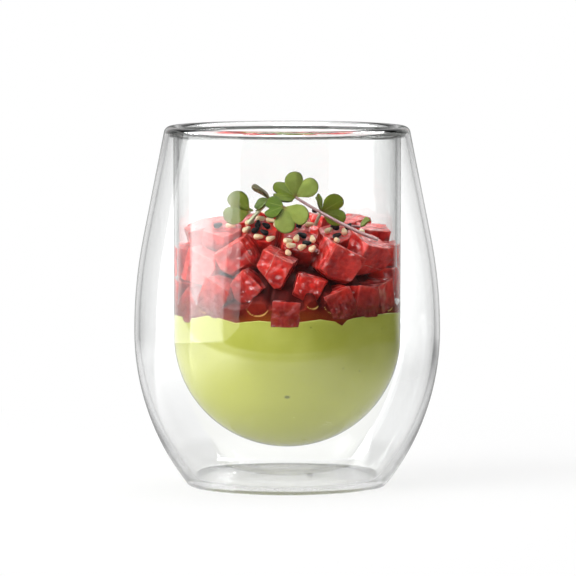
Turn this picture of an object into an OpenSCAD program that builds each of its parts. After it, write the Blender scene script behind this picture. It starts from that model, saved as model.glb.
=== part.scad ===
// Double-walled appetizer glass, served filled.
// One blown glass with a sealed air gap between its inner bowl and its outer shell holds
// avocado mousse, diced tuna in marinade, sesame seeds and radish sprouts.
// Z is up, the origin is the middle of the foot on the table, and the front faces -Y.

/* [Glass] */
// Height from the table to the top of the rim
glass_h = 86.4; // [82:0.2:96]
// Widest outer diameter, at the belly
belly_d = 73.4; // [70:0.2:84]
// Height of the belly above the table
belly_z = 37.4; // [32:0.2:44]
// Curve of the wall above the belly, as a share of the flattest arc that meets the rim
shoulder_share = 0.71; // [0.6:0.01:0.85]
// Diameter at which the lower wall would meet the table
foot_d = 47.2; // [40:0.2:52]
// Rounding between the lower wall and the foot
heel_r = 1.6; // [1:0.1:3]
// Thickness of the outer shell at the belly
shell_t = 1.15; // [0.9:0.05:1.5]
// Thickness of the outer shell just above the foot
heel_t = 2.2; // [1.6:0.1:3]
// Rounding at the floor of the air gap, as a share of the heel's rounding
gap_heel_share = 3.6; // [2:0.2:5]
// Thickness of the base
base_t = 1.3; // [1:0.1:3]
// Diameter of the hollow under the foot
punt_d = 21; // [10:0.5:30]
// Depth of the hollow under the foot
punt_h = 0.5; // [0.3:0.1:0.8]
// Inner diameter of the bowl
bowl_d = 52.3; // [49:0.1:53.5]
// Thickness of the bowl's wall
bowl_t = 1.05; // [0.8:0.05:1.3]
// Height of the bowl's inner bottom above the table
bowl_floor_z = 10; // [7.5:0.1:12]
// Width of the rounded rim, where bowl and shell are fused
rim_w = 3.4; // [3.2:0.1:3.8]
// Solid glass between the top of the rim and the air gap
rim_h = 1.4; // [1.2:0.1:3]
// Diameter of the fused vent seal on the floor of the air gap
vent_d = 1.4; // [1:0.1:2.4]
// Distance of the vent seal from the axis
vent_x = 5.6; // [3:0.1:8]

/* [Filling] */
// Height of the mousse's top above the table
mousse_z = 41.4; // [38:0.2:44]
// Depth of the hollows that the lowest tuna presses into the mousse
dent_h = 1.3; // [0.6:0.1:1.8]
// Height of the marinade above the mousse
marinade_h = 2.4; // [1.5:0.1:3.2]
// Edge of a typical cube of tuna
cube_e = 8.2; // [7.6:0.1:8.8]
// Height from the mousse to the middle of the lower cubes
low_h = 4.6; // [4.2:0.1:5]
// Height between the middles of two layers of cubes
layer_h = 7; // [6.6:0.1:7.4]
// Gap between neighbouring pieces of the filling
fit_gap = 0.12; // [0.06:0.02:0.3]
// Gap between the filling and the bowl
skin_gap = 0.05; // [0.02:0.01:0.1]

/* [Garnish] */
// Length of a sesame seed
seed_l = 2.2; // [1.8:0.1:2.6]
// Width of a sesame seed
seed_w = 1.3; // [1.1:0.1:1.5]
// Thickness of a sesame seed
seed_t = 0.8; // [0.6:0.05:1]
// Width of a seed leaf across its two lobes
leaf_w = 8; // [7:0.1:8.6]
// Thickness of a seed leaf
leaf_t = 0.36; // [0.3:0.02:0.5]
// Angle by which each half of a seed leaf is folded up along the midrib
leaf_fold = 14; // [4:1:24]
// Diameter of a sprout's stem
stem_d = 1; // [0.7:0.05:1.2]

/* [Hidden] */
$fn = 96;
arc_step = 3;

// Radii and centres that shape the glass
belly_r = belly_d / 2;
bowl_r = bowl_d / 2;
bowl_out_r = bowl_r + bowl_t;
bowl_c = bowl_floor_z + bowl_r;
rim_r = rim_w / 2;
rim_c = [bowl_r + rim_r, glass_h - rim_r];

// Radius of an arc that leaves the belly upright and is dx further in when dz lower
function drop_r(dx, dz) = (dx * dx + dz * dz) / (2 * dx);

low_r = drop_r(belly_r - foot_d / 2, belly_z);
low_c = [belly_r - low_r, belly_z];

// The flattest arc from the upright belly that still touches the rim's rounding
rim_in = belly_r - rim_c[0];
rim_up = rim_c[1] - belly_z;
flat_r = (pow(rim_in, 2) + pow(rim_up, 2) - pow(rim_r, 2)) / (2 * (rim_in - rim_r));
shoulder_r = shoulder_share * flat_r;
shoulder_c = [belly_r - shoulder_r, belly_z];

// Angle of the straight upper wall, which touches both the shoulder's arc and the rim
rim_way = rim_c - shoulder_c;
wall_a = atan2(rim_way[1], rim_way[0]) - acos((shoulder_r - rim_r) / norm(rim_way));

// Air side of the shell: thicker towards the heel, with a wide rounding to its floor
gap_heel_r = gap_heel_share * heel_r;
gap_low_z = base_t + gap_heel_r;
gap_low_x = low_c[0] + sqrt(pow(low_r, 2) - pow(belly_z - gap_low_z, 2)) - heel_t;
gap_low_r = drop_r(belly_r - shell_t - gap_low_x, belly_z - gap_low_z);
gap_low_c = [belly_r - shell_t - gap_low_r, belly_z];

// Rounded upper end of the air gap, between the bowl's wall and the shell
gap_top = glass_h - rim_h;
gap_reach = cos(wall_a) * (shoulder_c[0] - bowl_out_r) + sin(wall_a) * (shoulder_c[1] - gap_top);
gap_end_r = (gap_reach + shoulder_r - shell_t) / (1 + cos(wall_a) - sin(wall_a));

// Centre of a rounding of radius r that stands on height z inside a wall arc
function heel_c(c, wall_r, r, z) = [c[0] + sqrt(pow(wall_r - r, 2) - pow(c[1] - z - r, 2)), z + r];

heel_mid = heel_c(low_c, low_r, heel_r, 0);
gap_heel_mid = heel_c(gap_low_c, gap_low_r, gap_heel_r, base_t);

// Points of an arc about c from angle a0 to a1, leaving out the first one
function arc(c, r, a0, a1) =
    let (n = max(2, ceil(abs(a1 - a0) / arc_step)))
    [for (i = [1:n]) let (a = a0 + (a1 - a0) * i / n) c + r * [cos(a), sin(a)]];

function angle_from(c, p) = atan2(p[1] - c[1], p[0] - c[0]);

// Hollow under the foot, a shallow part of a large sphere
punt_r = drop_r(punt_h, punt_d / 2);
punt_c = [0, punt_h - punt_r];

outer_profile = concat(
    [[0, punt_h]],
    arc(punt_c, punt_r, 90, angle_from(punt_c, [punt_d / 2, 0])),
    [[heel_mid[0], 0]],
    arc(heel_mid, heel_r, -90, angle_from(low_c, heel_mid)),
    arc(low_c, low_r, angle_from(low_c, heel_mid), 0),
    arc(shoulder_c, shoulder_r, 0, wall_a),
    [rim_c + rim_r * [cos(wall_a), sin(wall_a)]],
    arc(rim_c, rim_r, wall_a, 180),
    [[bowl_r, bowl_c]],
    arc([0, bowl_c], bowl_r, 0, -90)
);

gap_end_c = [bowl_out_r + gap_end_r, gap_top - gap_end_r];

// The base is as thick over the hollow as beside it, so its upper face rises there too
vent_z = base_t + punt_c[1] + sqrt(pow(punt_r, 2) - pow(vent_x, 2));

gap_profile = concat(
    [[0, base_t + punt_h]],
    arc(punt_c + [0, base_t], punt_r, 90, angle_from(punt_c, [punt_d / 2, 0])),
    [[gap_heel_mid[0], base_t]],
    arc(gap_heel_mid, gap_heel_r, -90, angle_from(gap_low_c, gap_heel_mid)),
    arc(gap_low_c, gap_low_r, angle_from(gap_low_c, gap_heel_mid), 0),
    arc(shoulder_c, shoulder_r - shell_t, 0, wall_a),
    [gap_end_c + gap_end_r * [cos(wall_a), sin(wall_a)]],
    arc(gap_end_c, gap_end_r, wall_a, 180),
    [[bowl_out_r, bowl_c]],
    arc([0, bowl_c], bowl_out_r, 0, -90)
);

// Tuna: [bearing from the front towards the right, distance from the axis as a share of
// the bowl's radius, layer, turns about X, Y and Z, edge as a share of the typical one]
tuna = [
    // Front, from the left wall to the right wall
    [-86, 0.88, 1.15, [4, 6, -78], 1],
    [-83, 0.90, 0, [-8, 10, -80], 0.95],
    [-60, 0.80, 1.05, [12, 24, -30], 1.05],
    [-64, 0.90, -0.25, [10, -38, -50], 0.85],
    [-42, 0.88, 0.12, [8, 28, -40], 0.95],
    [-38, 0.68, 1.42, [16, -28, -24], 1.05],
    [-25, 0.80, 0.45, [6, 42, -16], 0.85],
    [-8, 0.71, 1.1, [8, 25, -14], 0.98],
    [-1, 0.90, -0.42, [4, 4, 2], 0.8],
    [14, 0.77, 0.35, [6, 17, 8], 0.96],
    [34, 0.78, 1.25, [12, 27, 26], 1.05],
    [29, 0.90, -0.08, [6, -22, 30], 0.85],
    [46, 0.90, -0.1, [-4, 12, 48], 0.9],
    [63, 0.89, 0.1, [5, -14, 58], 0.85],
    [64, 0.77, 1.45, [26, 12, 40], 1.05],
    [79, 0.90, 0.4, [-6, 8, 76], 0.9],
    [84, 0.88, 1.3, [8, -6, 86], 0.95],
    // Crown of the heap
    [-62, 0.64, 1.88, [20, 12, -34], 0.95],
    [-84, 0.78, 1.95, [10, -16, 12], 0.85],
    [-34, 0.42, 1.9, [38, 8, -14], 1],
    [8, 0.5, 1.6, [40, 12, 8], 0.95],
    [66, 0.5, 1.75, [30, -12, 20], 0.95],
    [101, 0.80, 1.8, [12, 5, 8], 0.95],
    [20, 0.08, 2.05, [24, 12, 6], 1],
    [140, 0.44, 2.15, [12, 10, 50], 1],
    [206, 0.46, 2.1, [-8, 14, 18], 1],
    [276, 0.44, 2.1, [6, -8, 34], 0.95],
    // Back, along the wall
    [110, 0.86, 0.05, [8, 10, 20], 1],
    [143, 0.86, 0, [-6, 20, 62], 1],
    [177, 0.86, 0.1, [5, -16, 4], 1],
    [211, 0.86, 0, [-8, 12, 40], 1],
    [244, 0.86, 0.1, [6, 18, 70], 1],
    [118, 0.84, 1.05, [-10, 16, 30], 1],
    [150, 0.84, 1.1, [8, -20, 55], 1],
    [182, 0.84, 1, [-5, 12, 0], 1],
    [214, 0.84, 1.1, [10, -14, 32], 1],
    [247, 0.84, 1.05, [-8, 22, 66], 1],
    [134, 0.82, 2, [6, -10, 44], 1],
    [168, 0.82, 1.95, [-9, 12, 80], 1],
    [203, 0.82, 2.05, [7, 15, 26], 1],
    [240, 0.82, 1.95, [-6, -12, 58], 1],
    // Middle of the heap
    [-6, 0.38, 0.15, [8, -10, 25], 1.25],
    [118, 0.38, 0.05, [-6, 12, 50], 1.25],
    [238, 0.38, 0.1, [5, 8, 10], 1.25],
    [60, 0.36, 1.1, [-8, 6, 35], 1.25],
    [182, 0.36, 1.15, [6, 14, 5], 1.25],
    [300, 0.38, 1.1, [-5, -8, 60], 1.25]
];

function bearing(a, r) = [r * sin(a), -r * cos(a)];

function tuna_mid(t) = let (p = bearing(t[0], t[1] * bowl_r))
    [p[0], p[1], mousse_z + low_h + layer_h * t[2]];

// Cubes nearer to each other than this share a flat face where they press together
press_reach = 2 * cube_e;

// Cubes below wet_layer stand in the marinade, and those below sunk_layer in the mousse
wet_layer = 0.6;
sunk_layer = -0.2;

// Marinade that runs under the cubes that are not sunk
film_h = 0.36;

// Everything beyond the plane halfway between p and q, on q's side, less the gap
module beyond(p, q, keep) {
    way = q - p;
    turn = [0, acos(way[2] / norm(way)), atan2(way[1], way[0])];
    far = 4 * cube_e;
    translate(p)
        rotate(turn)
            translate([-far / 2, -far / 2, norm(way) / 2 + keep])
                cube(far);
}

// One cube of tuna, grown on every side by grow
module tuna_shape(t, grow) {
    mid = tuna_mid(t);
    edge = t[4] * cube_e + 2 * grow;
    floor_z = mousse_z + ((t[2] < sunk_layer) ? -dent_h : film_h) - grow;
    wall_r = bowl_r - skin_gap + min(grow, skin_gap / 2);
    difference() {
        intersection() {
            translate(mid)
                rotate(t[3])
                    cube(edge, center = true);
            translate([0, 0, floor_z])
                cylinder(r = wall_r, h = 6 * cube_e);
        }
        for (other = tuna)
            let (q = tuna_mid(other))
                if (q != mid && norm(q - mid) < press_reach)
                    beyond(mid, q, grow - fit_gap / 2);
    }
}

// Sesame: [number of the cube it lies on, place on its top face from -1 to 1, turn]
white_seeds = [
    [20, -0.82, 0.28, 35], [20, -0.32, 0.78, 15], [20, 0.28, 0.82, -10], [20, 0.82, 0.5, -35],
    [20, -0.78, -0.4, 60], [20, 0.02, -0.8, 12], [20, 0.76, -0.84, 40],
    [21, -0.82, -0.44, 20], [21, -0.2, -0.1, 80], [21, 0.82, 0.1, 100],
    [21, -0.62, -0.8, 15], [21, 0.1, -0.78, 40], [21, 0.76, -0.76, 60],
    [22, -0.6, 0.2, 20], [22, 0.3, -0.35, 75],
    [24, 0.2, 0.1, 170], [24, 0.8, -0.3, 30],
    [8, 0.3, 0.1, 120], [11, -0.4, 0.5, 70], [15, -0.5, 0.5, 30],
    [18, 0.2, 0.2, 25], [25, 0.3, -0.1, 130], [26, -0.2, 0.3, 50]
];
black_seeds = [
    [20, -0.22, 0.22, 100], [20, 0.36, 0.22, 150], [20, -0.26, -0.32, 60], [20, 0.42, -0.36, 155],
    [21, 0.36, -0.32, 20], [21, 0.26, 0.34, 165],
    [22, -0.36, -0.5, 15], [22, 0.05, 0.3, 130], [22, 0.72, 0.1, 40],
    [24, -0.34, -0.34, 5], [24, 0.24, -0.7, 100],
    [18, -0.4, -0.2, 75], [25, -0.4, 0.3, 30], [26, 0.4, -0.3, 150]
];

// A seed's outline: a wide round end and a narrow one, joined by straight sides
seed_wide_r = seed_w / 2;
seed_tip_r = seed_w / 4;
seed_tip_x = seed_l - seed_wide_r - seed_tip_r;
seed_side_a = acos((seed_wide_r - seed_tip_r) / seed_tip_x);
seed_step = 24;

function coarse_arc(c, r, a0, a1) =
    let (n = ceil(abs(a1 - a0) / seed_step))
    [for (i = [0:n]) let (a = a0 + (a1 - a0) * i / n) c + r * [sin(a), cos(a)]];

seed_profile = concat(
    coarse_arc([0, 0], seed_wide_r, 180, seed_side_a),
    coarse_arc([0, seed_tip_x], seed_tip_r, seed_side_a, 0)
);

// A plump seed that is a little flattened on both sides, lying along X
module seed() {
    intersection() {
        rotate([0, 90, 0])
            rotate_extrude($fn = 24)
                polygon(seed_profile);
        cube([3 * seed_l, 2 * seed_w, seed_t], center = true);
    }
}

// Seeds of one kind, each lying flat on the upper face of its cube
module seeds(list) {
    for (s = list)
        let (t = tuna[s[0] - 1], half = t[4] * cube_e / 2)
            translate(tuna_mid(t))
                rotate(t[3])
                    translate([s[1] * half, s[2] * half, half + seed_t / 2 + fit_gap / 2])
                        rotate(s[3])
                            seed();
}

// Right half of a seed leaf's outline: a round lobe that tapers into the stalk
module leaf_half(w) {
    lobe_r = w * 0.295;
    lobe_x = w / 2 - lobe_r;
    lobe_y = w * 0.42;
    slope = atan2(lobe_y, lobe_x);
    side_a = slope - 90 + asin(lobe_r / norm([lobe_x, lobe_y]));
    lap = leaf_t / 3;
    intersection() {
        union() {
            translate([lobe_x, lobe_y])
                circle(r = lobe_r);
            polygon([
                [-lap, -lap],
                [stem_d / 3, -lap],
                [lobe_x + lobe_r * cos(side_a), lobe_y + lobe_r * sin(side_a)],
                [lobe_x, lobe_y],
                [-lap, lobe_y + lobe_r * 0.5]
            ]);
        }
        translate([-lap, -lap])
            square([w, 2 * w]);
    }
}

// A seed leaf that grows along +Y from the origin, folded up along its midrib
module leaf(w, fold) {
    for (side = [0, 1])
        mirror([side, 0, 0])
            rotate([0, -fold, 0])
                linear_extrude(height = leaf_t)
                    leaf_half(w);
}

// A stem through the given points: round rods with a slightly swollen knee at every bend
knee_d = 1.12 * stem_d;

module stem(points) {
    for (i = [0:len(points) - 1]) {
        translate(points[i])
            sphere(d = knee_d, $fn = 24);
        if (i > 0)
            let (way = points[i] - points[i - 1])
                translate(points[i - 1])
                    rotate([0, acos(way[2] / norm(way)), atan2(way[1], way[0])])
                        cylinder(d = stem_d, h = norm(way), $fn = 24);
    }
}

// One sprout: its stem, given from the heap up to the fork, and there its seed leaves,
// each given as [turns about X, Y and Z, share of the leaf's width, share of the fold]
module sprout(points, leaves) {
    stem(points);
    for (l = leaves)
        translate(points[len(points) - 1])
            rotate(l[0])
                leaf(l[1] * leaf_w, l[2] * leaf_fold);
}

// A point beside cube number n, measured from its middle in typical edges
function near(n, x, y, z) = tuna_mid(tuna[n - 1]) + cube_e * [x, y, z];

// A point over the heap: shares of the bowl's radius to the right and to the back, and its
// height above the crown's cubes in typical edges
crown_z = mousse_z + low_h + 2 * layer_h + cube_e / 2;
function over(x, y, z) = [x * bowl_r, y * bowl_r, crown_z + z * cube_e];

module glass() {
    color([0.85, 0.92, 0.92, 0.35])
        difference() {
            rotate_extrude()
                polygon(outer_profile);
            difference() {
                rotate_extrude()
                    polygon(gap_profile);
                rotate(-6)
                    translate([vent_x, 0, vent_z])
                        sphere(d = vent_d, $fn = 32);
            }
        }
}

module avocado_mousse() {
    color([0.72, 0.78, 0.42])
        difference() {
            rotate_extrude()
                polygon(concat(
                    [[0, mousse_z], [0, bowl_floor_z + skin_gap]],
                    arc([0, bowl_c], bowl_r - skin_gap, -90, 0),
                    [[bowl_r - skin_gap, mousse_z]]
                ));
            for (t = tuna)
                if (t[2] < sunk_layer)
                    tuna_shape(t, fit_gap);
        }
}

module marinade() {
    color([0.32, 0.1, 0.05])
        difference() {
            translate([0, 0, mousse_z])
                cylinder(r = bowl_r - skin_gap, h = marinade_h);
            for (t = tuna)
                if (t[2] < wet_layer)
                    tuna_shape(t, fit_gap);
        }
}

module tuna_cube(i) {
    color([0.7, 0.16, 0.15])
        tuna_shape(tuna[i - 1], 0);
}

module white_sesame_seeds() {
    color([0.93, 0.83, 0.62])
        seeds(white_seeds);
}

module black_sesame_seeds() {
    color([0.08, 0.08, 0.09])
        seeds(black_seeds);
}

module left_sprout() {
    color([0.36, 0.52, 0.2])
        sprout(
            [near(20, -0.594, 0.135, 0.659), near(20, -0.326, -0.012, 0.902)],
            [[[84, -74, 12], 1.05, 1.1], [[16, 10, 46], 0.6, 1]]
        );
}

module folded_sprout() {
    color([0.45, 0.42, 0.28])
        sprout(
            [
                near(20, -0.374, -0.328, 0.561),
                near(20, -0.106, -0.181, 0.89),
                near(20, 0.261, 0.087, 1.244)
            ],
            [[[37, -4, 90], 0.95, 1.3], [[-38, -16, 96], 0.75, 1.5]]
        );
}

module front_sprout() {
    color([0.4, 0.58, 0.26])
        sprout(
            [
                near(20, 0.481, 0.135, 0.707),
                near(20, 0.65, -0.232, 0.927),
                near(20, 0.66, -0.669, 1.07)
            ],
            [[[104, 147, 0], 1.08, 1.2], [[-8, -50, 86], 0.8, 0.8]]
        );
}

module top_sprout() {
    color([0.33, 0.5, 0.2])
        sprout(
            [
                over(0.807, -0.482, -0.5),
                over(0.65, -0.489, -0.33),
                near(20, 1.725, -0.159, 0.841),
                near(20, 0.991, 0.182, 1.317)
            ],
            [[[80, 24, 0], 1.04, 1.1], [[20, -34, 92], 1, 1]]
        );
}

module right_sprout() {
    color([0.3, 0.48, 0.16])
        sprout(
            [near(20, 1.553, 0.329, 0.463), near(20, 1.725, 0.256, 0.878)],
            [[[84, 82, 0], 1, 1], [[80, -14, 84], 0.75, 0.9]]
        );
}

module back_sprout() {
    color([0.48, 0.34, 0.36])
        sprout(
            [near(22, 0.138, 0.744, 0.543), near(22, 0.69, 0.444, 0.518)],
            [[[48, 10, -80], 0.5, 0.9]]
        );
}

tuna_names = [for (i = [1:len(tuna)]) str("tuna_cube_", i)];

glass();
avocado_mousse();
marinade();
for (i = [1:len(tuna)])
    tuna_cube(i);
white_sesame_seeds();
black_sesame_seeds();
left_sprout();
folded_sprout();
front_sprout();
top_sprout();
right_sprout();
back_sprout();
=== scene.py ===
import math

import bpy
import numpy as np
from mathutils import Euler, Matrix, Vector, noise


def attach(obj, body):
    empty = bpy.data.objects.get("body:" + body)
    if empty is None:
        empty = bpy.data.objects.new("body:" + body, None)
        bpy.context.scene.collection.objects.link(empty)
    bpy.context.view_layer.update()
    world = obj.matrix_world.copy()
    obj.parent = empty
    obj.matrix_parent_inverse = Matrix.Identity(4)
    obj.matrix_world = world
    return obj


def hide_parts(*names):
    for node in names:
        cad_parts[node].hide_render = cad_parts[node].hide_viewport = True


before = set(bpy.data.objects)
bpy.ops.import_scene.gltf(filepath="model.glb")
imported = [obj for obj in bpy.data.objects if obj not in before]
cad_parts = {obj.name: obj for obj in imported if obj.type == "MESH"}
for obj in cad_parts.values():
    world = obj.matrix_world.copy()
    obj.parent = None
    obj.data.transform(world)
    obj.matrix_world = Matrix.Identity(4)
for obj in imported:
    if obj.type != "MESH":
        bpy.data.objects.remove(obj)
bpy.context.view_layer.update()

# The glass: one piece of clear blown borosilicate, an inner vessel and an outer shell fused in a
# rounded rim round a sealed air gap. Its section of tangent arcs is spun about the axis. Where
# the glass is seen edge on, at the seam below the rim and at the seal of the vent, a grey
# see-through layer gives it painted shade; the heel is partly plain see-through, so it looks
# faint.
MM = 0.001
glass_h, belly_r, belly_z = 86.4, 36.7, 37.4
shoulder_share, foot_r, heel_r = 0.71, 23.6, 1.6
shell_t, heel_t, base_t = 1.15, 2.2, 1.3
punt_edge, punt_h = 10.5, 0.5
bowl_r, bowl_t, bowl_floor = 26.15, 1.05, 10
rim_r, rim_h = 1.7, 1.4
gap_heel_r = 3.6 * heel_r
vent_r, vent_x, vent_bearing = 0.7, 5.6, -6
bowl_out_r, bowl_c = bowl_r + bowl_t, bowl_floor + bowl_r
glass_steps = 160
clear_tone, shadow_tone = (0.994, 0.998, 0.996, 1), (0.96, 0.965, 0.96, 1)
painted_edge_tone, painted_rim_tone = (0.50, 0.51, 0.50, 1), (0.22, 0.23, 0.22, 1)
painted_vent_tone, heel_tone = (0.06, 0.06, 0.06, 1), (0.985, 0.988, 0.985, 1)


def mm(*sizes):
    """Sizes in millimetres, turned into metres."""
    return [size * MM for size in sizes]


def tangent_r(dx, dz):
    """Radius of the arc that leaves a straight line and is dx off it after a length of dz."""
    return (dx * dx + dz * dz) / (2 * dx)


def angle_from(c, p):
    return math.degrees(math.atan2(p[1] - c[1], p[0] - c[0]))


def arc(c, r, a0, a1, step=2):
    """Points of an arc about c from angle a0 to a1, without the first one."""
    count = max(2, math.ceil(abs(a1 - a0) / step))
    angles = [math.radians(a0 + (a1 - a0) * i / count) for i in range(1, count + 1)]
    return [(c[0] + r * math.cos(a), c[1] + r * math.sin(a)) for a in angles]


def upright(r, z0, z1, count):
    """Points along an upright wall of radius r from z0 to z1, without the first one."""
    return [(r, z0 + (z1 - z0) * k / count) for k in range(1, count + 1)]


def heel_centre(c, wall_r, r, z):
    """Centre of a heel of radius r that lies on height z and touches the wall's arc about c."""
    return (c[0] + math.sqrt((wall_r - r) ** 2 - (c[1] - z - r) ** 2), z + r)


low_r = tangent_r(belly_r - foot_r, belly_z)
low_c = (belly_r - low_r, belly_z)
rim_c = (bowl_r + rim_r, glass_h - rim_r)
rim_in, rim_up = belly_r - rim_c[0], rim_c[1] - belly_z
shoulder_r = shoulder_share * (rim_in**2 + rim_up**2 - rim_r**2) / (2 * (rim_in - rim_r))
shoulder_c = (belly_r - shoulder_r, belly_z)
rim_way = (rim_c[0] - shoulder_c[0], rim_c[1] - shoulder_c[1])
wall_a = math.degrees(
    math.atan2(rim_way[1], rim_way[0]) - math.acos((shoulder_r - rim_r) / math.hypot(*rim_way))
)
wall_cos, wall_sin = math.cos(math.radians(wall_a)), math.sin(math.radians(wall_a))
heel_mid = heel_centre(low_c, low_r, heel_r, 0)
punt_r = tangent_r(punt_h, punt_edge)
punt_c = (0, punt_h - punt_r)
punt_a = angle_from(punt_c, (punt_edge, 0))
outer_profile = (
    [(0, punt_h)]
    + arc(punt_c, punt_r, 90, punt_a, 1)
    + [(heel_mid[0], 0)]
    + arc(heel_mid, heel_r, -90, angle_from(low_c, heel_mid), 5)
    + arc(low_c, low_r, angle_from(low_c, heel_mid), 0)
    + arc(shoulder_c, shoulder_r, 0, wall_a, 1)
    + arc(rim_c, rim_r, wall_a, 180, 6)
    + upright(bowl_r, rim_c[1], bowl_c, 6)
    + arc((0, bowl_c), bowl_r, 0, -90)
)
gap_low_z = base_t + gap_heel_r
gap_low_x = low_c[0] + math.sqrt(low_r**2 - (belly_z - gap_low_z) ** 2) - heel_t
gap_low_r = tangent_r(belly_r - shell_t - gap_low_x, belly_z - gap_low_z)
gap_low_c = (belly_r - shell_t - gap_low_r, belly_z)
gap_top = glass_h - rim_h
gap_reach = wall_cos * (shoulder_c[0] - bowl_out_r) + wall_sin * (shoulder_c[1] - gap_top)
gap_end_r = (gap_reach + shoulder_r - shell_t) / (1 + wall_cos - wall_sin)
gap_end_c = (bowl_out_r + gap_end_r, gap_top - gap_end_r)
gap_mid = heel_centre(gap_low_c, gap_low_r, gap_heel_r, base_t)
gap_profile = (
    [(0, base_t + punt_h)]
    + arc((0, punt_c[1] + base_t), punt_r, 90, punt_a, 1)
    + [(gap_mid[0], base_t)]
    + arc(gap_mid, gap_heel_r, -90, angle_from(gap_low_c, gap_mid), 5)
    + arc(gap_low_c, gap_low_r, angle_from(gap_low_c, gap_mid), 0)
    + arc(shoulder_c, shoulder_r - shell_t, 0, wall_a, 1)
    + arc(gap_end_c, gap_end_r, wall_a, 180, 12)
    + upright(bowl_out_r, gap_end_c[1], bowl_c, 6)
    + arc((0, bowl_c), bowl_out_r, 0, -90)
)


def pick(pieces):
    bpy.ops.object.select_all(action="DESELECT")
    for piece in pieces:
        piece.select_set(True)
    bpy.context.view_layer.objects.active = pieces[0]


def merge_doubles():
    """In edit mode, all points that lie on each other become one."""
    bpy.ops.mesh.select_all(action="SELECT")
    bpy.ops.mesh.remove_doubles(threshold=1e-6)


def spun(name, profile, steps):
    """A closed solid: a profile of radii and heights in mm, from axis to axis, turned once."""
    bpy.ops.object.select_all(action="DESELECT")
    bpy.ops.mesh.primitive_circle_add(vertices=len(profile), radius=1)
    piece = bpy.context.object
    piece.name = name
    for corner, (r, z) in zip(piece.data.vertices, profile):
        corner.co = (r * MM, 0, z * MM)
    bpy.ops.object.mode_set(mode="EDIT")
    bpy.ops.mesh.select_all(action="SELECT")
    bpy.ops.mesh.spin(steps=steps, angle=math.tau, center=(0, 0, 0), axis=(0, 0, 1))
    merge_doubles()
    bpy.ops.mesh.delete_loose(use_verts=True, use_edges=True, use_faces=False)
    bpy.ops.mesh.select_all(action="SELECT")
    bpy.ops.mesh.normals_make_consistent(inside=False)
    bpy.ops.object.mode_set(mode="OBJECT")
    bpy.ops.object.shade_smooth()
    return piece


def apply_modifier(piece, kind, **settings):
    pick([piece])
    change = piece.modifiers.new(kind.lower(), kind)
    for key, value in settings.items():
        setattr(change, key, value)
    bpy.ops.object.modifier_apply(modifier=change.name)


def join(pieces):
    pick(pieces)
    bpy.ops.object.join()
    return pieces[0]


glass = spun("glass_body", outer_profile, glass_steps)
air_gap = spun("air_gap", gap_profile, glass_steps)
vent_a = math.radians(vent_bearing)
vent_z = base_t + punt_c[1] + math.sqrt(punt_r**2 - vent_x**2)
vent_at = Vector((vent_x * math.cos(vent_a), vent_x * math.sin(vent_a), vent_z)) * MM
bpy.ops.mesh.primitive_uv_sphere_add(
    segments=32, ring_count=16, radius=vent_r * MM, location=vent_at
)
vent = bpy.context.object
bpy.ops.object.transform_apply(location=True, rotation=False, scale=False)
apply_modifier(air_gap, "BOOLEAN", operation="DIFFERENCE", object=vent, solver="EXACT")
bpy.data.objects.remove(vent)
pick([air_gap])
bpy.ops.object.mode_set(mode="EDIT")
bpy.ops.mesh.select_all(action="SELECT")
bpy.ops.mesh.flip_normals()
bpy.ops.object.mode_set(mode="OBJECT")
join([glass, air_gap])
bpy.ops.object.shade_smooth()


def new_material(name):
    material = bpy.data.materials.new(name)
    material.use_nodes = True
    return material, material.node_tree, material.node_tree.nodes["Principled BSDF"]


def put_material(piece, material):
    piece.data.materials.clear()
    piece.data.materials.append(material)


def feed(tree, node, inputs):
    """Links what comes from another node, and sets what is a plain number or colour."""
    for key, value in inputs.items():
        if isinstance(value, bpy.types.NodeSocket):
            tree.links.new(value, node.inputs[key])
        else:
            node.inputs[key].default_value = value


def add_node(tree, kind, output, inputs, **settings):
    node = tree.nodes.new(kind)
    for key, value in settings.items():
        setattr(node, key, value)
    feed(tree, node, inputs)
    return node.outputs[output]


def place_on(tree, kind="Object"):
    return add_node(tree, "ShaderNodeTexCoord", kind, {})


def split(tree, vector):
    """The X, Y and Z of a vector, by name."""
    parts = tree.nodes.new("ShaderNodeSeparateXYZ")
    feed(tree, parts, {0: vector})
    return parts.outputs


def calc(tree, kind, a, b=0.5, c=0.5):
    return add_node(tree, "ShaderNodeMath", 0, {0: a, 1: b, 2: c}, operation=kind)


def times(tree, product, *factors):
    for factor in factors:
        product = calc(tree, "MULTIPLY", product, factor)
    return product


def rest_of(tree, share):
    return calc(tree, "SUBTRACT", 1, share)


def mixed(tree, share, a, b):
    return add_node(
        tree, "ShaderNodeMix", "Result", {"Factor": share, "A": a, "B": b}, data_type="RGBA"
    )


def ramp(tree, value, low, high, start=0, end=1):
    """From start to end while the value goes from low to high, and level past them."""
    limits = {"Value": value, "From Min": low, "From Max": high, "To Min": start, "To Max": end}
    return add_node(tree, "ShaderNodeMapRange", "Result", limits)


def tinted_air(tree, tone):
    return add_node(tree, "ShaderNodeBsdfTransparent", 0, {"Color": tone})


def layered(tree, share, under, over):
    return add_node(tree, "ShaderNodeMixShader", 0, {"Fac": share, 1: under, 2: over})


edge_facing, edge_dark_z, edge_share = (0.85, 0.96), mm(4, 12), (0.15, 0.85)
seam_z, seam_end = mm(gap_top - 0.7, gap_top - 0.35), (gap_top + 0.1) * MM
seam_r, seam_share = mm(bowl_r + 0.4, bowl_r + 3), 0.8
rim_z, vent_reach = mm(80, 84), mm(1.1 * vent_r, 0.9 * vent_r)
heel_z, foot_z, heel_share = mm(9, 6.5), mm(0.4, 1), 0.2
material, tree, shader = new_material("clear_glass")
clear_glass = {"Base Color": clear_tone, "Roughness": 0, "IOR": 1.47, "Transmission Weight": 1}
feed(tree, shader, clear_glass)
ray = tree.nodes.new("ShaderNodeLightPath").outputs
shadowing = calc(tree, "MAXIMUM", ray["Is Shadow Ray"], ray["Is Diffuse Ray"])
look = layered(tree, shadowing, shader.outputs[0], tinted_air(tree, shadow_tone))

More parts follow.
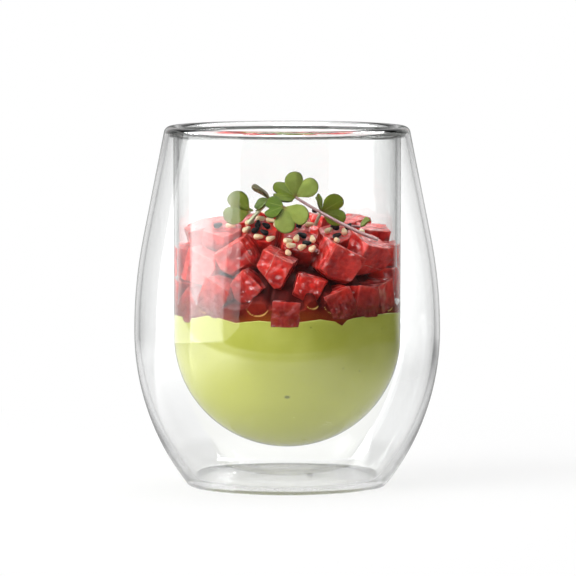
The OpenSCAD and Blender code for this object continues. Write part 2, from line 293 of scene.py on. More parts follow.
where = place_on(tree)
x, y, z = split(tree, where)
facing = add_node(tree, "ShaderNodeLayerWeight", "Facing", {"Blend": 0.5})
at_edge = ramp(tree, facing, *edge_facing)
at_edge = times(tree, at_edge, ramp(tree, z, *edge_dark_z, *edge_share))
out = calc(tree, "POWER", calc(tree, "MULTIPLY_ADD", y, y, times(tree, x, x)), 0.5)
at_seam = times(
    tree,
    ramp(tree, z, *seam_z),
    calc(tree, "GREATER_THAN", out, seam_r[0]),
    calc(tree, "LESS_THAN", out, seam_r[1]),
    calc(tree, "LESS_THAN", z, seam_end),
)
from_vent = add_node(
    tree, "ShaderNodeVectorMath", "Value", {0: where, 1: tuple(vent_at)}, operation="DISTANCE"
)
at_vent = ramp(tree, from_vent, *vent_reach)
# Painted shade: a grey see-through layer darkens the glass seen edge on, the seam below the rim
# and the vent seal, darkest near the rim and at the vent.
painted_dark_share = calc(tree, "MAXIMUM", at_edge, times(tree, at_seam, seam_share))
painted_dark_share = calc(tree, "MAXIMUM", painted_dark_share, at_vent)
painted_dark_tone = mixed(tree, ramp(tree, z, *rim_z), painted_edge_tone, painted_rim_tone)
painted_dark_tone = mixed(tree, at_vent, painted_dark_tone, painted_vent_tone)
look = layered(tree, painted_dark_share, look, tinted_air(tree, painted_dark_tone))

in_heel = times(tree, ramp(tree, z, *heel_z, 0, heel_share), ramp(tree, z, *foot_z))
look = layered(tree, in_heel, look, tinted_air(tree, heel_tone))
feed(tree, tree.nodes["Material Output"], {"Surface": look})
put_material(glass, material)
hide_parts("glass")
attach(glass, "root")

# The filling: soft avocado mousse piped into the vessel, so it lies tight against the glass.
# Its upper edge runs up and down where the lowest dice press into it, and it holds fine dark
# flecks of peel. The edge is given by bearings from the front and heights.
mousse_top, mousse_grip = 41.4, 0.03
mousse_edge = [
    (-180, 41.4), (-150, 41.7), (-120, 41.2), (-84, 41.4), (-55, 41.5), (-45, 42.4),
    (-37, 42.0), (-27, 41.0), (-21, 41.4), (-14, 41.7), (-8, 41.5), (0, 41.2), (8, 41.5),
    (17, 42.0), (25, 41.4), (29, 40.3), (32, 41.6), (36, 42.0), (47, 42.4), (62, 42.5),
    (80, 42.0), (110, 41.2), (140, 41.8), (180, 41.4),
]
edge_from_z, edge_from_r, edge_full_r = 37, 20, 25
mousse_steps, mousse_rows = 360, 14
cream_tone, pale_tone = (0.43, 0.445, 0.06, 1), (0.51, 0.525, 0.095, 1)
painted_light_low_tone, peel_tone, peel_share = (0.575, 0.59, 0.10, 1), (0.10, 0.13, 0.02, 1), 0.75
fleck_at, fleck_squash, fleck_edge = (0, -0.0229, 0.0236), (1, 1, 1.6), mm(0.8, 0.5)


def positions(piece):
    co = np.empty(len(piece.data.vertices) * 3, np.float32)
    piece.data.vertices.foreach_get("co", co)
    return co.reshape(-1, 3)


def place(piece, co):
    piece.data.vertices.foreach_set("co", np.ascontiguousarray(co, np.float32).ravel())
    piece.data.update()


def bearings(co):
    """Degrees round the axis, 0 at the front and 90 at the right."""
    return np.degrees(np.arctan2(co[:, 0], -co[:, 1]))


def smooth_step(value, low, high):
    share = np.clip((value - low) / (high - low), 0, 1)
    return share * share * (3 - 2 * share)


def noise_at(tree, where, scale, detail, roughness=0.5):
    inputs = {"Vector": where, "Scale": scale, "Detail": detail, "Roughness": roughness}
    return add_node(tree, "ShaderNodeTexNoise", "Fac", inputs)


mousse_r = bowl_r + mousse_grip
mousse = spun(
    "avocado_mousse_fill",
    [(0, bowl_c - mousse_r)]
    + arc((0, bowl_c), mousse_r, -90, 0, 3)
    + upright(mousse_r, bowl_c, mousse_top, mousse_rows)
    + [(mousse_r - inset, mousse_top) for inset in (0.5, 1.2, 2.4, 4.5, 9, 17, mousse_r)],
    mousse_steps,
)
co = positions(mousse)
edge_z = np.interp(bearings(co), *zip(*mousse_edge)) * MM
near_top = smooth_step(co[:, 2], *mm(edge_from_z, mousse_top))
near_wall = smooth_step(np.hypot(co[:, 0], co[:, 1]), *mm(edge_from_r, edge_full_r))
co[:, 2] += (edge_z - mousse_top * MM) * near_top * near_wall
place(mousse, co)

material, tree, shader = new_material("avocado_mousse")
where = place_on(tree)
tone = mixed(tree, ramp(tree, noise_at(tree, where, 90, 3), 0.35, 0.65), cream_tone, pale_tone)
# Painted light: the mousse is painted lighter towards the bottom.
tone = mixed(tree, ramp(tree, split(tree, where)["Z"], *mm(36, 22)), tone, painted_light_low_tone)
speck_way = {"Vector": where, "Scale": 300, "Randomness": 1}
speck = ramp(tree, add_node(tree, "ShaderNodeTexVoronoi", "Distance", speck_way), 0.07, 0.04)
fleck_way = add_node(
    tree, "ShaderNodeVectorMath", "Vector", {0: where, 1: fleck_at}, operation="SUBTRACT"
)
fleck_way = add_node(
    tree, "ShaderNodeVectorMath", "Vector", {0: fleck_way, 1: fleck_squash}, operation="MULTIPLY"
)
fleck = add_node(tree, "ShaderNodeVectorMath", "Value", {0: fleck_way}, operation="LENGTH")
peel = calc(tree, "MAXIMUM", speck, ramp(tree, fleck, *fleck_edge))
tone = mixed(tree, times(tree, peel, peel_share), tone, peel_tone)
feed(tree, shader, {"Base Color": tone, "Roughness": 0.5, "Specular IOR Level": 0.2})
put_material(mousse, material)
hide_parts("avocado_mousse")
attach(mousse, "root")

# The dice: raw tuna cut by hand, so each has its own turn, softened corners, slightly uneven
# faces, thin pale sinews and a wet film of marinade. Where a die touches the vessel it lies flat
# on the glass. Painted shade darkens the flesh low down, inside the heap and on faces that hang
# over, each die has its own random tone, and painted light makes the corners paler.
dice_grip, dice_reach, dice_free = 0.045, 0.3, 1.2
fine_voxel, coarse_voxel = 0.28, 0.7
hidden_dice = {"tuna_cube_%d" % n for n in range(42, 48)}
corner_rounds, corner_bulge = 8, 0.16
uneven_mid, uneven_swing, uneven_size = -0.22, 0.3, 3.6
same_way, square_way, phase_reach = 0.98, 0.15, 40
low_z, low_shade, right_x, right_shade_and_tone = (43, 51), 0.72, (9, 20), 0.05
inner_r, buried_z, buried_shade = (18, 24.5), (56, 60), 0.6
hang_from, hang_shade, tone_spread, shade_and_tone_most = 0.15, 0.3, 0.2, 0.88
flesh_dark, flesh_bright = (0.44, 0.001, 0.001, 1), (0.98, 0.036, 0.022, 1)
sinew_tone, sinew_gap, sinew_bend = (0.80, 0.27, 0.20, 1), 3.1, 2
painted_glow_tone, shade_and_tone_dark = (0.78, 0.15, 0.11, 1), (0.10, 0.004, 0.004, 1)
rng = np.random.default_rng(7)


def cad_copy(node, name):
    """A copy of a CAD node with its loose triangles joined up. The node stays as it is."""
    piece = bpy.data.objects.new(name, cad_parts[node].data.copy())
    bpy.context.scene.collection.objects.link(piece)
    pick([piece])
    bpy.ops.object.mode_set(mode="EDIT")
    merge_doubles()
    bpy.ops.object.mode_set(mode="OBJECT")
    return piece


def own_frame(piece):
    """The three directions of a die's faces, the one with most area first."""
    faces = piece.data.polygons
    ways, areas = np.empty(len(faces) * 3), np.empty(len(faces))
    faces.foreach_get("normal", ways)
    faces.foreach_get("area", areas)
    ways = ways.reshape(-1, 3)
    alike = (np.abs(ways @ ways.T) > same_way) @ areas
    first = ways[np.argmax(alike)]
    square = np.abs(ways @ first) < square_way
    second = ways[np.argmax(alike * square)] if square.any() else ways[0]
    second = second - first * (first @ second)
    second /= max(np.linalg.norm(second), 1e-6)
    return np.array([first, second, np.cross(first, second)])


def vertex_normals(piece):
    ways = np.empty(len(piece.data.vertices) * 3, np.float32)
    piece.data.vertices.foreach_get("normal", ways)
    return ways.reshape(-1, 3)


def bulge(piece, rounds):
    """How far each point stands out of the smoothed shape, which is most at the corners."""
    co = positions(piece)
    pairs = np.empty(len(piece.data.edges) * 2, np.int32)
    piece.data.edges.foreach_get("vertices", pairs)
    a, b = pairs.reshape(-1, 2).T
    count = np.bincount(pairs, minlength=len(co))
    soft = co.astype(float)
    for _ in range(rounds):
        total = np.empty_like(soft)
        for k in range(3):
            total[:, k] = np.bincount(a, soft[b, k], len(co)) + np.bincount(b, soft[a, k], len(co))
        soft = total / count[:, None]
    return ((co - soft) * vertex_normals(piece)).sum(1)


def store(piece, name, values):
    """Keeps a value or a vector for each point, for the material to read."""
    kind = "FLOAT" if values.ndim == 1 else "FLOAT_VECTOR"
    layer = piece.data.attributes.new(name, kind, "POINT")
    field = "value" if values.ndim == 1 else "vector"
    layer.data.foreach_set(field, np.ascontiguousarray(values, np.float32).ravel())


def noise_field(co, size, phase=(0, 0, 0)):
    scaled = co / (size * MM) + np.array(phase)
    return np.array([noise.noise(Vector(p)) for p in scaled])


def stored(tree, name, output="Fac"):
    return add_node(tree, "ShaderNodeAttribute", output, {}, attribute_name=name)


def bumped(tree, height, strength, distance):
    inputs = {"Height": height, "Strength": strength, "Distance": distance}
    return add_node(tree, "ShaderNodeBump", "Normal", inputs)


tuna_material, tree, shader = new_material("raw_tuna")
grain = stored(tree, "grain", "Vector")
flesh = noise_at(tree, grain, 0.3, 6, 0.68)
tone = mixed(tree, ramp(tree, flesh, 0.38, 0.64), flesh_dark, flesh_bright)
bend = noise_at(tree, grain, 0.16, 2)
along = calc(tree, "MULTIPLY_ADD", bend, sinew_bend, split(tree, grain)["X"])
sinew = ramp(tree, calc(tree, "PINGPONG", along, sinew_gap), 0.15, 0.03)
veins = noise_at(tree, grain, 0.35, 1)
tone = mixed(tree, times(tree, sinew, ramp(tree, veins, 0.42, 0.6, 0, 0.8)), tone, sinew_tone)
# Painted light: the corners are painted paler pink, a painted glow of light through the thin
# flesh.
tone = mixed(tree, times(tree, stored(tree, "corner"), times(tree, veins, 0.5)), tone, painted_glow_tone)
# Painted shade, plus each die's own random tone: the stored share darkens the flesh.
tone = mixed(tree, stored(tree, "deep"), tone, shade_and_tone_dark)
feed(
    tree,
    shader,
    {
        "Base Color": tone,
        "Roughness": 0.35,
        "Specular IOR Level": 0.1,
        "Normal": bumped(tree, noise_at(tree, grain, 0.9, 4, 0.6), 0.6, 0.0005),
        "Subsurface Weight": 0.3,
        "Subsurface Radius": (1, 0.22, 0.16),
        "Subsurface Scale": 0.0022,
        "Coat Weight": 1,
        "Coat IOR": 1.6,
        "Coat Roughness": 0.08,
        "Coat Normal": bumped(tree, noise_at(tree, grain, 0.7, 0.4), 1, 0.0023),
    },
)
dice = sorted((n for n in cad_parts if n.startswith("tuna_cube_")), key=lambda n: int(n[10:]))
for node in dice:
    cube = cad_copy(node, node.replace("tuna_cube", "tuna_dice"))
    turn = own_frame(cube)
    voxel = coarse_voxel if node in hidden_dice else fine_voxel
    apply_modifier(cube, "REMESH", mode="VOXEL", voxel_size=voxel * MM)
    apply_modifier(cube, "SMOOTH", factor=0.5, iterations=3)
    # How far each corner stands out, which sets its painted glow.
    corner_glow_share = np.clip(bulge(cube, corner_rounds) / (corner_bulge * MM), 0, 1)
    co = positions(cube)
    mid = co.mean(0)
    phase = rng.uniform(-phase_reach, phase_reach, 3)
    uneven = uneven_mid + uneven_swing * noise_field(co, uneven_size, phase)
    r = np.hypot(co[:, 0], co[:, 1])
    on_wall = (r > (bowl_r - dice_reach) * MM) & (co[:, 2] > bowl_c * MM)
    free = 1 - smooth_step(r, *mm(bowl_r - dice_free, bowl_r - dice_reach))
    co += vertex_normals(cube) * (np.minimum(uneven, 0) * free * MM)[:, None]
    co[on_wall, :2] *= ((bowl_r + dice_grip) * MM / r[on_wall])[:, None]
    place(cube, co)
    store(cube, "grain", ((co - mid) @ turn.T) / MM + phase)
    store(cube, "corner", corner_glow_share)
    # Painted shade low down, a little on the right, inside the heap and on faces that hang over,
    # plus each die's own random tone.
    right = smooth_step(np.full(len(co), mid[0]), *mm(*right_x))
    below = 1 - smooth_step(co[:, 2], *mm(*low_z))
    inner = 1 - smooth_step(r, *mm(*inner_r))
    buried = inner * (1 - smooth_step(co[:, 2], *mm(*buried_z)))
    own_tone = rng.uniform(0, tone_spread) - tone_spread / 2
    hanging = np.clip(hang_from - vertex_normals(cube)[:, 2], 0, 1)
    shade_and_tone_share = below * (low_shade + right_shade_and_tone * right) + buried_shade * buried
    shade_and_tone_share += hang_shade * hanging + own_tone
    store(cube, "deep", np.clip(shade_and_tone_share, 0, shade_and_tone_most))
    bpy.ops.object.shade_smooth()
    put_material(cube, tuna_material)
    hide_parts(node)
    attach(cube, "root")

# The marinade: dark soy and sesame oil that clings between the lowest dice. Where a die rests
# on the glass it hangs below it in a round sag with a golden rim of oil. A sag is given by its
# bearing, its lowest height, half its width in degrees and how far it rises to its ends.
marinade_grip, marinade_low, marinade_top = 0.015, 40, 50
marinade_floor_r, marinade_crown = (0, 12, 20), [(20, 52), (12, 53.5), (5, 54), (0, 54)]
marinade_steps, marinade_rows = 800, 50
creep_top, creep_swell, creep_size, creep_phase = 44.3, 1.0, 3.1, (3, 1, 7)
creep_over, creep_drop, sag_square = 0.7, 1.3, 0.6
sags = [
    (-46, 43.0, 8.3, 2.6), (-15.3, 42.8, 6.6, 2.4), (13, 44.5, 3.5, 1.2), (23.6, 43.4, 5.4, 3.0),
    (45.8, 44.9, 5.6, 1.5), (63, 43.0, 8, 2.4), (100, 43.2, 7, 2), (132, 44, 6, 2),
    (168, 43.1, 7, 2.4), (-98, 43.4, 7, 2), (-135, 43.2, 6, 2), (-165, 44, 5, 2),
]
oil_w, oil_swell, oil_fade = 0.11, 0.05, 0.3
skin_t, set_back_by, set_back_bend, least_r = 0.01, 1.6, 0.8, 8
soy_dark, soy_light = (0.075, 0.003, 0.002, 1), (0.22, 0.014, 0.007, 1)
oil_tone, amber_tone = (0.80, 0.47, 0.13, 1), (0.25, 0.05, 0.005, 1)
painted_recess_shade_tone = (0.07, 0.003, 0.002, 1)

marinade_r = bowl_r + marinade_grip
marinade = spun(
    "marinade_pool",
    [(r, marinade_low) for r in (*marinade_floor_r, marinade_r)]
    + upright(marinade_r, marinade_low, marinade_top, marinade_rows)
    + marinade_crown,
    marinade_steps,
)
co = positions(marinade)
b, z = bearings(co), co[:, 2] / MM
around = np.column_stack([np.cos(np.radians(b)), np.sin(np.radians(b)), np.zeros(len(b))])
creep = creep_top + creep_swell * noise_field(around * bowl_r * MM, creep_size, creep_phase)
oil, below = np.zeros(len(co)), np.ones(len(co))
for bearing, low, half, rise in sags:
    off = (b - bearing) / half
    line = low + rise * off**4 * sag_square + rise * off**2 * (1 - sag_square)
    inside = np.abs(off) < 1
    creep = np.maximum(creep, low + rise + creep_over - creep_drop * rise * off**4)
    width = oil_w + oil_swell * np.sin(off * 3)
    fade = smooth_step(1 - np.abs(off), 0, oil_fade)
    oil = np.maximum(oil, np.exp(-(((z - line) / width) ** 2)) * fade * inside)
    below = np.where(inside & (z > line), 0, below)
above = np.maximum(z - creep, 0)
skin = np.hypot(co[:, 0], co[:, 1]) > (marinade_r - skin_t) * MM
skin_r = np.maximum(marinade_r - set_back_by * above**set_back_bend, least_r)
co[:, :2] *= np.where(skin, skin_r / marinade_r, 1)[:, None]
place(marinade, co)
store(marinade, "oil", oil * (above == 0))
store(marinade, "below", below)
# How far the surface recedes, which sets its painted shade.
store(marinade, "set_back", smooth_step(above, 0.2, 2))
bpy.ops.object.shade_smooth()

material, tree, shader = new_material("marinade")
where = place_on(tree)
tone = mixed(tree, ramp(tree, noise_at(tree, where, 210, 3), 0.4, 0.66), soy_dark, soy_light)
thin = ramp(tree, noise_at(tree, where, 95, 1), 0.5, 0.66)
low_share = ramp(tree, split(tree, where)["Z"], *mm(44.6, 41.8))
amber = times(tree, low_share, thin, stored(tree, "below"))
tone = mixed(tree, amber, tone, amber_tone)
# Painted shade: where the surface recedes from the glass between the dice it is painted darker.
tone = mixed(tree, stored(tree, "set_back"), tone, painted_recess_shade_tone)
tone = mixed(tree, stored(tree, "oil"), tone, oil_tone)
feed(tree, shader, {"Base Color": tone, "Roughness": 0.4, "Specular IOR Level": 0.04})
put_material(marinade, material)
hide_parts("marinade")
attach(marinade, "root")

# Sesame: plump hulled seeds, lightly toasted, their tone varying in a fine cloud, and black ones
# with a faint sheen, strewn over the crown.
white_tones = (0.86, 0.62, 0.34, 1), (0.95, 0.80, 0.55, 1)
black_tones = (0.003, 0.003, 0.004, 1), (0.010, 0.008, 0.010, 1)
white_gloss, black_gloss = 0.35, 0.4
seed_voxel, seed_rounds, plump = 0.1, 10, 0.11
for node, tones, gloss in (
    ("white_sesame_seeds", white_tones, white_gloss),
    ("black_sesame_seeds", black_tones, black_gloss),
):
    seeds = cad_copy(node, node.replace("sesame_seeds", "sesame"))
    apply_modifier(seeds, "REMESH", mode="VOXEL", voxel_size=seed_voxel * MM)
    apply_modifier(seeds, "SMOOTH", factor=0.5, iterations=seed_rounds)
    place(seeds, positions(seeds) + vertex_normals(seeds) * plump * MM)
    bpy.ops.object.shade_smooth()
    material, tree, shader = new_material(node.replace("_seeds", ""))
    cloud = noise_at(tree, place_on(tree), 700, 3)
    tone = mixed(tree, ramp(tree, cloud, 0.35, 0.6), *tones)
    feed(tree, shader, {"Base Color": tone, "Roughness": gloss, "Specular IOR Level": 0.05})
    feed(tree, shader, {"Normal": bumped(tree, cloud, 0.3, 0.0001)})
    put_material(seeds, material)
    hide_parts(node)
    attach(seeds, "root")

# The sprouts: radish seedlings, each a thin stem that forks into two heart-shaped seed leaves.
# The stems blush purple, the leaves have a dark rim and pale veins that fan out of the stalk.
# Each lies on the dice, so its points are given from a die's middle or from the crown.
cube_e, leaf_w, leaf_t, leaf_fold = 8.2, 8, 0.36, 14
crown_z = 64.1
lobe_r, lobe_x, lobe_y = 0.295, 0.205, 0.42
leaf_fan, notch_in, notch_a, fold_round = 65.2, 0.09, 8, 0.5
leaf_curl, leaf_wave, leaf_waves = 0.05, 0.12, 9
dice_at = {20: Vector((-6.142, -9.105, 59.3)), 22: Vector((11.945, -5.318, 58.25))}
leaf_pale, leaf_purple = (0.36, 0.44, 0.10, 1), (0.17, 0.11, 0.085, 1)
leaf_green, leaf_dark = (0.16, 0.23, 0.004, 1), (0.06, 0.13, 0.002, 1)
cloud_tone, vein_tone = (0.11, 0.18, 0.004, 1), (0.42, 0.48, 0.10, 1)
stalk_tone, leaf_rim_tone = (0.16, 0.03, 0.02, 1), (0.07, 0.06, 0.02, 1)
vein_at, twig_gap, twig_slope, twig_share = 0.34, 0.085, 0.7, 0.45
stem_pale, stem_blush = (0.55, 0.60, 0.34, 1), (0.36, 0.17, 0.20, 1)
stem_spot_tone = (0.24, 0.06, 0.07, 1)


def near(number, x, y, z):
    """A point from the middle of a die, in edges of a die."""
    return dice_at[number] + cube_e * Vector((x, y, z))


def over(x, y, z):
    """A point above the heap, across in radii of the vessel and up in edges of a die."""
    return Vector((x * bowl_r, y * bowl_r, crown_z + z * cube_e))


def leaf(base, turn, share, fold, shade):
    """A seed leaf of two lobes, folded along its middle and curled at its end."""
    bpy.ops.object.select_all(action="DESELECT")
    bpy.ops.mesh.primitive_grid_add(x_subdivisions=40, y_subdivisions=14, size=2)
    piece = bpy.context.object
    co = positions(piece)
    u, reach = co[:, 0].copy(), (co[:, 1] + 1) / 2
    phi = np.radians(leaf_fan) * u
    side = np.abs(phi)
    toward = np.sin(side) * lobe_x + np.cos(side) * lobe_y
    far = toward + np.sqrt(np.maximum(lobe_r**2 - (lobe_x**2 + lobe_y**2 - toward**2), 0))
    far -= notch_in * np.exp(-((np.degrees(phi) / notch_a) ** 2))
    width = share * leaf_w
    x, y = reach * far * np.sin(phi) * width, reach * far * np.cos(phi) * width
    rise = math.tan(math.radians(leaf_fold * fold)) * (np.hypot(x, fold_round) - fold_round)
    wave = leaf_wave * np.sin(phi * leaf_waves + share * 20) * reach**2
    curl = leaf_curl * width * reach**3 + wave
    place(piece, np.column_stack([x, y, rise - curl]) * MM)
    bpy.ops.object.mode_set(mode="EDIT")
    merge_doubles()
    bpy.ops.object.mode_set(mode="OBJECT")
    apply_modifier(piece, "SOLIDIFY", thickness=leaf_t * MM, offset=0)
    turning = np.array(Euler([math.radians(a) for a in turn], "XYZ").to_matrix())
    place(piece, positions(piece) @ turning.T + np.array(base) * MM)
    store(piece, "shade", np.full(len(piece.data.vertices), shade, float))
    bpy.ops.object.shade_smooth()
    return piece


def stem(points, radii, blush):
    """A round stem through the points, with a radius at each."""
    bpy.ops.object.select_all(action="DESELECT")
    bpy.ops.curve.primitive_nurbs_path_add()
    path = bpy.context.object
    curve = path.data
    curve.splines.clear()
    line = curve.splines.new("NURBS")
    line.points.add(len(points) - 1)
    line.order_u, line.use_endpoint_u = min(4, len(points)), True
    for point, spot, radius in zip(line.points, points, radii):
        point.co = (*(spot * MM), 1)
        point.radius = radius * MM
    curve.resolution_u, curve.bevel_depth = 12, 1
    curve.bevel_resolution, curve.use_fill_caps = 3, True
    bpy.ops.object.convert(target="MESH")
    piece = bpy.context.object
    bpy.ops.object.mode_set(mode="EDIT")
    merge_doubles()
    bpy.ops.mesh.normals_make_consistent(inside=False)
    bpy.ops.object.mode_set(mode="OBJECT")
    bpy.ops.object.shade_smooth()
    store(piece, "shade", np.full(len(piece.data.vertices), blush, float))
    return piece


leaf_material, tree, shader = new_material("seed_leaf")
tones = tree.nodes.new("ShaderNodeValToRGB")
tones.color_ramp.elements[0].color = leaf_pale
tones.color_ramp.elements[1].color = leaf_purple
for at, colour in ((0.4, leaf_green), (0.7, leaf_dark)):
    tones.color_ramp.elements.new(at).color = colour
feed(tree, tones, {0: stored(tree, "shade")})
plan = split(tree, place_on(tree, "UV"))
reach = plan["Y"]
side = calc(tree, "ABSOLUTE", calc(tree, "SUBTRACT", times(tree, plan["X"], 2), 1))
off = calc(tree, "ABSOLUTE", calc(tree, "SUBTRACT", side, vein_at))
main_vein = ramp(tree, times(tree, off, reach), 0.022, 0.008)
main_vein = times(tree, main_vein, ramp(tree, reach, 0.95, 0.6))
twigs = calc(tree, "MULTIPLY_ADD", off, -twig_slope, reach)
twigs = ramp(tree, calc(tree, "PINGPONG", twigs, twig_gap), 0.012, 0.003)
vein = calc(tree, "MAXIMUM", main_vein, times(tree, twigs, twig_share))
tone = mixed(tree, times(tree, vein, 0.4), tones.outputs[0], vein_tone)
cloud = noise_at(tree, place_on(tree), 320, 3)
tone = mixed(tree, ramp(tree, cloud, 0.4, 0.7, 0, 0.35), tone, cloud_tone)
tone = mixed(tree, ramp(tree, reach, 0.2, 0.02, 0, 0.8), tone, stalk_tone)
tone = mixed(tree, ramp(tree, reach, 0.94, 1, 0, 0.7), tone, leaf_rim_tone)
feed(tree, shader, {"Base Color": tone, "Roughness": 0.6, "Specular IOR Level": 0.1})
feed(tree, shader, {"Normal": bumped(tree, vein, 0.3, 0.0001)})

stem_material, tree, shader = new_material("sprout_stem")
tone = mixed(tree, stored(tree, "shade"), stem_pale, stem_blush)
cloud = noise_at(tree, place_on(tree), 350, 2)
tone = mixed(tree, ramp(tree, cloud, 0.45, 0.8, 0, 0.5), tone, stem_spot_tone)
feed(tree, shader, {"Base Color": tone, "Roughness": 0.35})

# A sprout is its stem's points and radii, how far the stem blushes, and for each leaf its turn,
# its size, how sharply it is folded and its shade, from pale green at 0 to purple at 1.
sprouts = {
    "left_sprout": (
        [near(20, -0.594, 0.135, 0.659), near(20, -0.326, -0.012, 0.902)],
        (0.4, 0.34), 0.2,
        [((84, -74, 12), 1.05, 1.1, 0.25), ((16, 10, 46), 0.6, 1, 0.4)],
    ),
    "folded_sprout": (
        [
            near(20, -0.374, -0.328, 0.561),
            near(20, -0.106, -0.181, 0.89),
            near(20, 0.261, 0.087, 1.244),
        ],
        (0.48, 0.45, 0.38), 0.0,
        [((37, -4, 90), 0.95, 1.3, 0.95), ((-38, -16, 96), 0.75, 1.5, 0.6)],
    ),
    "front_sprout": (
        [
            near(20, 0.481, 0.135, 0.707),
            near(20, 0.65, -0.232, 0.927),
            near(20, 0.66, -0.669, 1.07),
        ],
        (0.4, 0.4, 0.34), 0.7,
        [((104, 147, 0), 1.08, 1.2, 0), ((-8, -50, 86), 0.8, 0.8, 0.62)],
    ),
    "top_sprout": (
        [
            over(0.807, -0.482, -0.5),
            over(0.65, -0.489, -0.33),
            near(20, 1.725, -0.159, 0.841),
            near(20, 0.991, 0.182, 1.317),
        ],
        (0.42, 0.42, 0.38, 0.34), 0.9,
        [((80, 24, 0), 1.04, 1.1, 0.1), ((20, -34, 92), 1, 1, 0.42)],
    ),
    "right_sprout": (
        [near(20, 1.553, 0.329, 0.463), near(20, 1.725, 0.256, 0.878)],
        (0.42, 0.36), 0.4,
        [((84, 82, 0), 1, 1, 0.32), ((80, -14, 84), 0.75, 0.9, 0.4)],
    ),
    "back_sprout": (
        [near(22, 0.138, 0.744, 0.543), near(22, 0.69, 0.444, 0.518)],
        (0.36, 0.34), 0.9,
        [((48, 10, -80), 0.5, 0.9, 0.3)],
    ),
}
for node, (points, radii, blush_share, leaves) in sprouts.items():
    rod = stem(points, radii, blush_share)
    put_material(rod, stem_material)
    blades = [leaf(points[-1], *each) for each in leaves]
    for blade in blades:
        put_material(blade, leaf_material)
    sprout = join([rod, *blades])
    sprout.name = node.replace("sprout", "seedling")
    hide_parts(node)
    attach(sprout, "root")

# The stage: floor and surroundings are white where they are seen straight or through the glass.
# What surfaces mirror is a dim room with a white sheet behind and a soft box at the left, which
# gives the glass its dark edges and pale bands, and small lamps high up make the dice glint.
floor_r, floor_z, floor_tone = 3, -0.03, (0.85, 0.85, 0.85, 1)
dark, sheet_level, sky_level, soft_level = 0.02, 0.85, 0.5, 0.22
through, floor_through = 1.28, 1.0
sheet_edge, sheet_front, sheet_soft, sky_edge = (0.7, 0.95), -0.165, 0.01, (0.5, 0.75)
far_floor, foot_floor, fade_floor = (0.22, 0.4), (0.02, 0.06), (0.05, 0.2)
box_x, box_way, box_lift = (-0.05, -0.13), (0.42, 0.36), 1.7
dim_x, dim_level, foot_level, fade_level = (0.04, 0.14), 0.3, 0.9, 0.8
foot_shade_r, foot_shade_y, foot_shade = 0.0222, (-0.013, -0.0195), 0.12


def path_shares(tree, through_level):
    """How much light goes to what is seen straight or through, and 1 for what is mirrored."""
    ray = tree.nodes.new("ShaderNodeLightPath").outputs
    seen_through = times(tree, ray["Is Transmission Ray"], through_level)
    straight = calc(tree, "MAXIMUM", ray["Is Camera Ray"], seen_through)
    mirrored = calc(tree, "MINIMUM", ray["Glossy Depth"], 1)
    return times(tree, straight, rest_of(tree, mirrored)), mirrored


bpy.ops.object.select_all(action="DESELECT")
bpy.ops.mesh.primitive_circle_add(vertices=64, radius=floor_r, fill_type="NGON")
floor = bpy.context.object
floor.name = "floor"
floor.location = (0, 0, floor_z * MM)
bpy.ops.object.transform_apply(location=True, rotation=False, scale=False)
material, tree, shader = new_material("white_floor")
feed(tree, shader, {"Base Color": floor_tone, "Roughness": 0.8, "Specular IOR Level": 0.1})
where = place_on(tree)
spot = split(tree, where)
away = add_node(tree, "ShaderNodeVectorMath", "Value", {0: where}, operation="LENGTH")
way_back = calc(tree, "DIVIDE", spot["Y"], away)
by_box = times(tree, ramp(tree, spot["X"], *box_x), ramp(tree, way_back, *box_way))
farness = times(tree, ramp(tree, away, *far_floor), rest_of(tree, by_box))
straight, mirrored = path_shares(tree, ramp(tree, away, *far_floor, floor_through, through))
lit = ramp(tree, spot["X"], *dim_x, 1, dim_level)
lit = calc(tree, "MULTIPLY_ADD", by_box, box_lift, lit)
lit = times(tree, lit, ramp(tree, away, *foot_floor, foot_level, 1))
sheet_line = (sheet_front - sheet_soft, sheet_front + sheet_soft)
near_level = times(tree, ramp(tree, spot["Y"], *sheet_line, dark, sheet_level), lit)
near_part = times(tree, near_level, rest_of(tree, farness))
far_part = times(tree, ramp(tree, way_back, *sheet_edge, dark, sheet_level), farness)
mirror_level = times(tree, mirrored, calc(tree, "ADD", near_part, far_part))
under_foot = calc(tree, "LESS_THAN", away, foot_shade_r)
shade = times(tree, under_foot, ramp(tree, spot["Y"], *foot_shade_y, 0, foot_shade))
straight = times(tree, straight, rest_of(tree, shade))
glow_level = calc(tree, "ADD", straight, mirror_level)
glow = add_node(tree, "ShaderNodeEmission", 0, {"Strength": glow_level})
shown = calc(tree, "MAXIMUM", calc(tree, "GREATER_THAN", straight, 0.01), mirrored)
fade = calc(tree, "MAXIMUM", ramp(tree, away, *fade_floor, fade_level, 1), mirrored)
look = layered(tree, times(tree, shown, fade), shader.outputs[0], glow)
feed(tree, tree.nodes["Material Output"], {"Surface": look})
put_material(floor, material)

world = bpy.data.worlds.new("studio")
bpy.context.scene.world = world
world.use_nodes = True
tree = world.node_tree
way = split(tree, place_on(tree, "Generated"))
straight, mirrored = path_shares(tree, through)
sheet = ramp(tree, way["Y"], *sheet_edge, dark, sheet_level)
sheet = calc(tree, "MAXIMUM", sheet, ramp(tree, way["Z"], *sky_edge, 0, sky_level))
level = calc(tree, "ADD", straight, times(tree, mirrored, sheet))
soft = times(tree, add_node(tree, "ShaderNodeLightPath", "Is Diffuse Ray", {}), soft_level)
level = calc(tree, "ADD", level, soft)
feed(tree, tree.nodes["Background"], {"Color": (1, 1, 1, 1), "Strength": level})


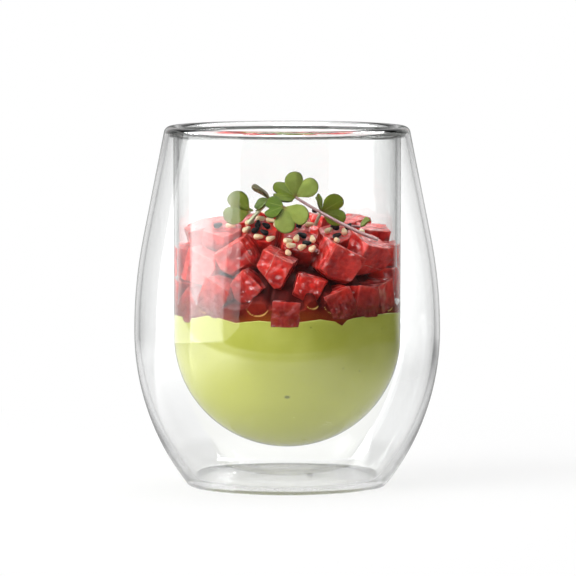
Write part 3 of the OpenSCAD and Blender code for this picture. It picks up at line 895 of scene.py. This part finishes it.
def soft_light(name, at, aim, width, height, power, **seen_by):
    lamp = bpy.data.lights.new(name, "AREA")
    lamp.shape = "RECTANGLE"
    lamp.size, lamp.size_y, lamp.energy = width, height, power
    piece = bpy.data.objects.new(name, lamp)
    bpy.context.scene.collection.objects.link(piece)
    piece.location = at
    piece.rotation_euler = (Vector(aim) - Vector(at)).to_track_quat("-Z", "Y").to_euler()
    for key, value in seen_by.items():
        setattr(piece, "visible_" + key, value)
    return lamp


target, box_aim = (0, 0, 0.05), (0, -0.088, 0.25)
mirror_only = {"diffuse": False, "camera": False}
light_only = {"glossy": False, "camera": False, "transmission": False}
left_box = soft_light("left_box", (-0.35, -0.088, 0.25), box_aim, 0.462, 0.5, 1.7, **mirror_only)
left_box.use_nodes = True
tree = left_box.node_tree
depth = add_node(tree, "ShaderNodeLightPath", "Glossy Depth", {})
feed(tree, tree.nodes["Emission"], {"Strength": calc(tree, "MINIMUM", depth, 1)})
soft_light("key", (-0.6, -0.36, 0.5), target, 0.5, 0.5, 7.8, **light_only)
soft_light("spark", (-0.06, -0.5, 0.7), target, 0.5, 0.28, 13, **mirror_only)
soft_light("left_spark", (-0.42, -0.25, 0.72), target, 0.06, 0.3, 2.6, **mirror_only)
soft_light("side_spark", (-0.58, 0.26, 0.56), target, 0.26, 0.26, 9, **mirror_only)
soft_light("right_spark", (0.42, 0.3, 0.62), target, 0.26, 0.26, 6, **mirror_only)
soft_light("top", (0.05, 0.15, 0.6), target, 0.4, 0.4, 2, camera=False, transmission=False)

view_half_w, view_distance = 0.06912, 1.3709
look_at = Vector((0.0002, 0, 0.0475))
camera_data = bpy.data.cameras.new("camera")
camera = bpy.data.objects.new("camera", camera_data)
bpy.context.scene.collection.objects.link(camera)
bpy.context.scene.camera = camera
camera.location = (0, -1.367, 0.151)
camera.rotation_euler = (look_at - camera.location).to_track_quat("-Z", "Y").to_euler()
camera_data.angle = 2 * math.atan(view_half_w / view_distance)
camera_data.clip_start = 0.01
bpy.context.scene.view_settings.view_transform = "Standard"
